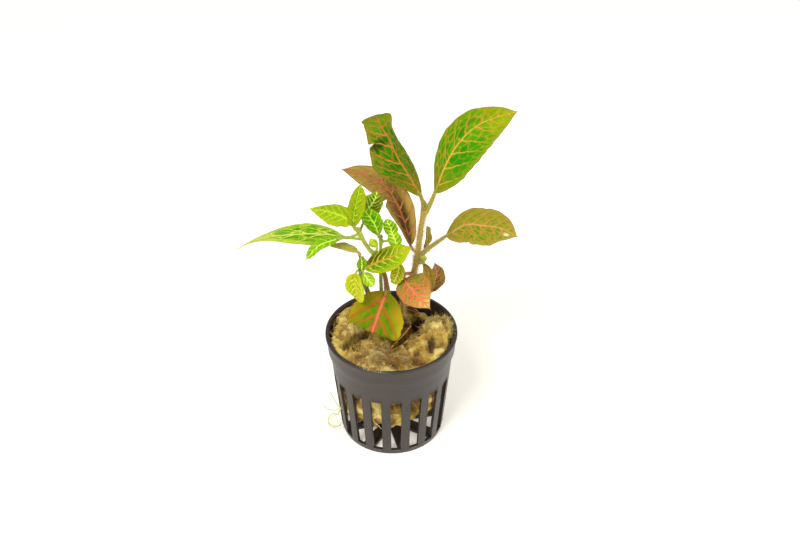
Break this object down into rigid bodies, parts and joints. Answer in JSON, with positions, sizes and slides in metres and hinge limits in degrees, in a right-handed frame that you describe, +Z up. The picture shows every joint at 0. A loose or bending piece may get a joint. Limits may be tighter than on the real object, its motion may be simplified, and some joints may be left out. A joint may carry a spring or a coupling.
{
  "type": "potted nerve plant",
  "caption": "Small nerve plant with veined red, green and yellow-green leaves, rooted in rock wool in a slotted black net pot.",
  "frame": {"origin": "middle of the pot's foot, on the surface that it stands on", "axes": "+Z up out of the pot, -Y towards the side that the plant turns its leaves to, +X to the right seen from there"},
  "size_m": [0.1088, 0.0546, 0.143],
  "materials": {
    "pot_plastic": "satin black, moulded",
    "wool_fibre": "loose felted fibre",
    "stem_brown": "living stem with fine hairs",
    "stem_green": "living stem with fine hairs",
    "root_pale": "smooth pale root",
    "leaf_mature": "soft leaf, green cells between orange-pink veins",
    "leaf_red": "soft leaf, reddish with pink veins",
    "leaf_young": "soft leaf, yellow-green with pale veins",
    "leaf_brown": "withering leaf, brown"
  },
  "bodies": {
    "root": {"net_pot": "pot_plastic", "rock_wool": "wool_fibre", "stem_tall": "stem_brown", "stem_left": "stem_brown", "stem_low": "stem_green", "stem_thin": "stem_green", "root_loop": "root_pale", "leaf_top_left": "leaf_mature", "leaf_top_right": "leaf_mature", "leaf_right": "leaf_mature", "leaf_back": "leaf_red", "leaf_back_edge": "leaf_mature", "leaf_low_right": "leaf_mature", "leaf_dark_right": "leaf_red", "leaf_red_front": "leaf_red", "leaf_front": "leaf_mature", "leaf_withered": "leaf_brown", "leaf_long_left": "leaf_young", "leaf_droop": "leaf_young", "leaf_pale_left": "leaf_young", "leaf_upright": "leaf_young", "leaf_behind": "leaf_young", "leaf_veined": "leaf_young", "leaf_small_low": "leaf_young", "leaf_small_high": "leaf_young", "leaf_orange": "leaf_young", "leaf_curl": "leaf_young", "leaf_brown_back": "leaf_brown", "leaf_yellow": "leaf_young", "leaf_low_small": "leaf_young"}
  },
  "joints": []
}
